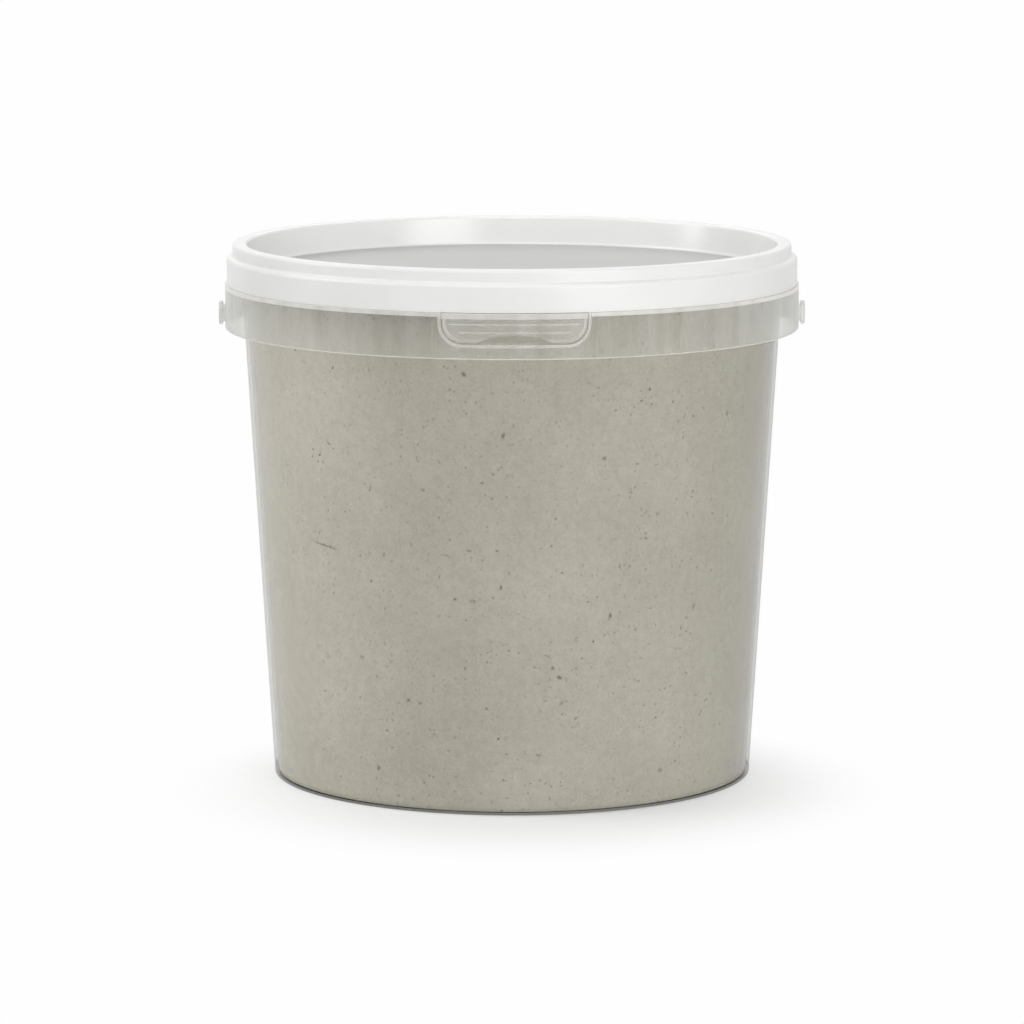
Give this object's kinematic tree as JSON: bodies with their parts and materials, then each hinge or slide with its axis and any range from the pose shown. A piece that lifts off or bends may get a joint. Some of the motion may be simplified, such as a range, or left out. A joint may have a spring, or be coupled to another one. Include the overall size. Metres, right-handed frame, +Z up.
{
  "type": "wall filler tub",
  "caption": "Round tapered plastic tub of wall filler with a recessed press-on lid, a ribbed rim skirt with handle studs and a fold-down tamper tab.",
  "frame": {"origin": "centre of the foot ring, on the floor", "axes": "+Z up along the tub's axis, -Y towards the tamper tab, +X towards one handle stud"},
  "size_m": [0.2292, 0.2248, 0.209],
  "materials": {
    "natural_plastic": "satin",
    "white_plastic": "satin",
    "filler": "matte"
  },
  "bodies": {
    "tub": {"tub": "natural_plastic", "rim": "natural_plastic", "skirt": "natural_plastic", "skirt_ribs": "natural_plastic", "handle_studs": "natural_plastic", "tab_hinge": "natural_plastic", "tab_bridges": "natural_plastic", "filler": "filler"},
    "lid": {"lid": "white_plastic"},
    "tab": {"tamper_tab": "natural_plastic"}
  },
  "joints": [
    {"name": "lid_lift", "type": "slide", "parent": "tub", "child": "lid", "axis": [0, 0, 1], "range_m": [0, 0.08]},
    {"name": "tab_fold", "type": "hinge", "parent": "tub", "child": "tab", "pos_m": [0, -0.1116, 0.18175], "axis": [1, 0, 0], "range_deg": [0, 100], "deforming": ["tab_hinge"]}
  ]
}
